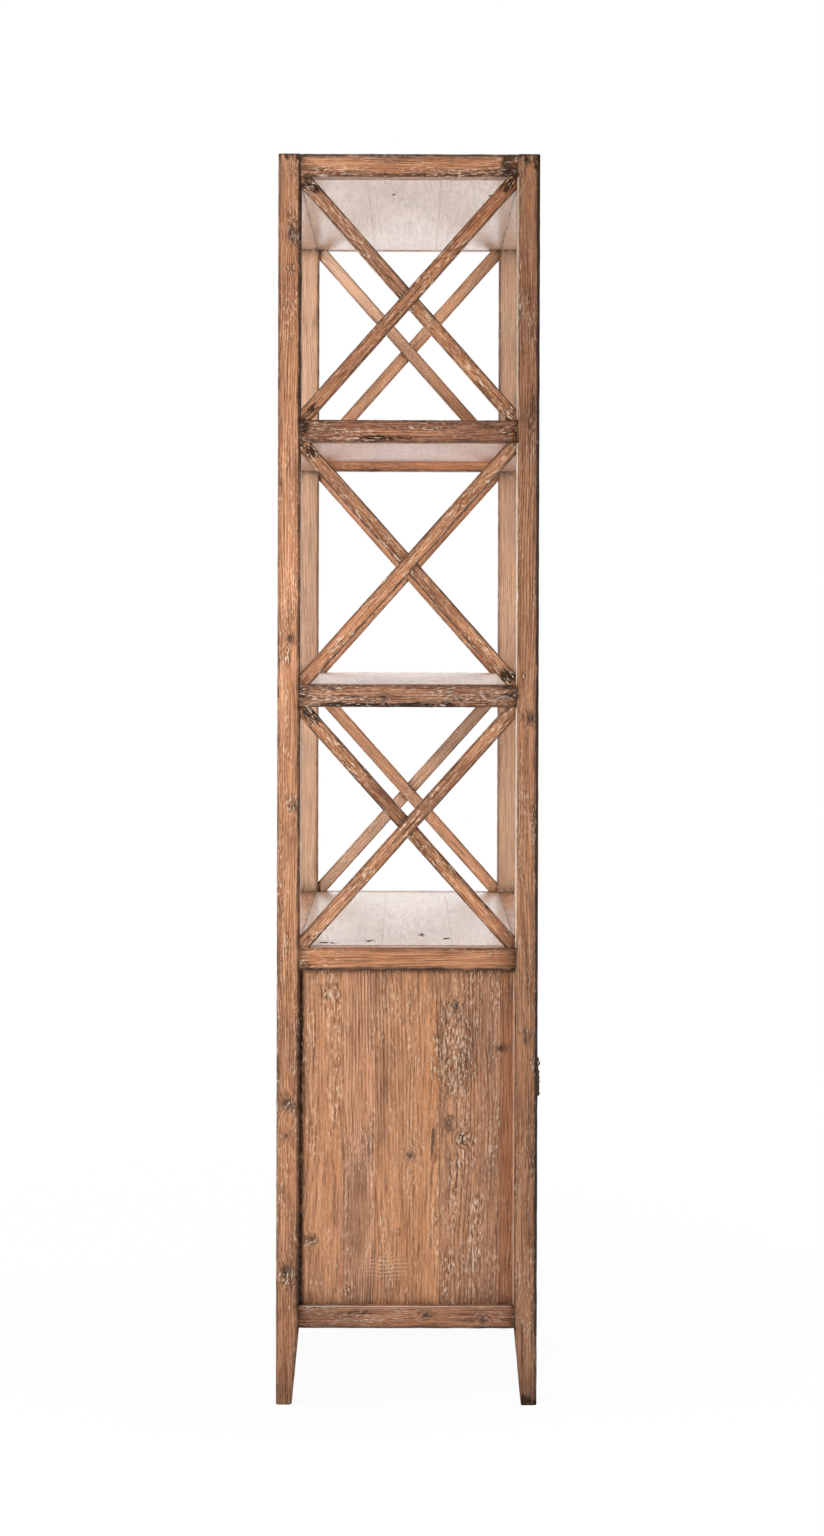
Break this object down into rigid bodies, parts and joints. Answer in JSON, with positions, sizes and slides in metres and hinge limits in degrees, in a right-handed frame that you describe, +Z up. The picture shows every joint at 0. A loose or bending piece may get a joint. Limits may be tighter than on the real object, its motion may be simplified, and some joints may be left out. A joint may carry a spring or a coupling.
{
  "type": "bookcase",
  "caption": "Tall open timber bookcase with diagonal-braced ends, shelves and a low cabinet with hinged doors and drop pulls.",
  "frame": {"origin": "centre of the bounding box on the floor, so that the doors' pulls count: the carcass centre lies 12.5 mm behind it", "axes": "+Z up, +X along the shelves to the right for someone who faces the doors, -Y out of the doors; the end in the picture is at -X"},
  "size_m": [1, 0.443, 2],
  "materials": {
    "frame_wood": "aged pine, waxed, satin",
    "board_wood": "aged pine boards with limewash residue, waxed, satin",
    "iron": "blackened wrought iron"
  },
  "bodies": {
    "cabinet": {"post_front_left": "frame_wood", "post_back_left": "frame_wood", "post_front_right": "frame_wood", "post_back_right": "frame_wood", "end_rail_left_top": "frame_wood", "end_rail_right_top": "frame_wood", "long_rail_front_top": "frame_wood", "long_rail_back_top": "frame_wood", "board_top": "board_wood", "end_rail_left_upper_shelf": "frame_wood", "end_rail_right_upper_shelf": "frame_wood", "long_rail_front_upper_shelf": "frame_wood", "long_rail_back_upper_shelf": "frame_wood", "board_upper_shelf": "board_wood", "end_rail_left_lower_shelf": "frame_wood", "end_rail_right_lower_shelf": "frame_wood", "long_rail_front_lower_shelf": "frame_wood", "long_rail_back_lower_shelf": "frame_wood", "board_lower_shelf": "board_wood", "end_rail_left_cabinet_top": "frame_wood", "end_rail_right_cabinet_top": "frame_wood", "long_rail_front_cabinet_top": "frame_wood", "long_rail_back_cabinet_top": "frame_wood", "board_cabinet_top": "board_wood", "end_rail_left_cabinet_floor": "frame_wood", "end_rail_right_cabinet_floor": "frame_wood", "long_rail_front_cabinet_floor": "frame_wood", "long_rail_back_cabinet_floor": "frame_wood", "board_cabinet_floor": "board_wood", "wall_end_left": "board_wood", "wall_end_right": "board_wood", "wall_back": "board_wood", "brace_left_upper_rising": "frame_wood", "brace_left_upper_falling": "frame_wood", "brace_left_middle_rising": "frame_wood", "brace_left_middle_falling": "frame_wood", "brace_left_lower_rising": "frame_wood", "brace_left_lower_falling": "frame_wood", "brace_right_upper_rising": "frame_wood", "brace_right_upper_falling": "frame_wood", "brace_right_middle_rising": "frame_wood", "brace_right_middle_falling": "frame_wood", "brace_right_lower_rising": "frame_wood", "brace_right_lower_falling": "frame_wood"},
    "door_left": {"door_left_pivot_stile": "frame_wood", "door_left_meeting_stile": "frame_wood", "door_left_lower_rail": "frame_wood", "door_left_upper_rail": "frame_wood", "door_left_panel": "board_wood", "pull_left_plate": "iron", "pull_left_eye": "iron"},
    "drop_left": {"pull_left_drop": "iron"},
    "door_right": {"door_right_pivot_stile": "frame_wood", "door_right_meeting_stile": "frame_wood", "door_right_lower_rail": "frame_wood", "door_right_upper_rail": "frame_wood", "door_right_panel": "board_wood", "pull_right_plate": "iron", "pull_right_eye": "iron"},
    "drop_right": {"pull_right_drop": "iron"}
  },
  "joints": [
    {"name": "door_left_swing", "type": "hinge", "parent": "cabinet", "child": "door_left", "pos_m": [-0.451, -0.1855, 0.428], "axis": [0, 0, -1], "range_deg": [0, 90]},
    {"name": "door_right_swing", "type": "hinge", "parent": "cabinet", "child": "door_right", "pos_m": [0.451, -0.1855, 0.428], "axis": [0, 0, 1], "range_deg": [0, 90]},
    {"name": "drop_left_swing", "type": "hinge", "parent": "door_left", "child": "drop_left", "pos_m": [-0.022, -0.2165, 0.47745], "axis": [-1, 0, 0], "range_deg": [-12, 85]},
    {"name": "drop_right_swing", "type": "hinge", "parent": "door_right", "child": "drop_right", "pos_m": [0.022, -0.2165, 0.47745], "axis": [-1, 0, 0], "range_deg": [-12, 85]}
  ]
}
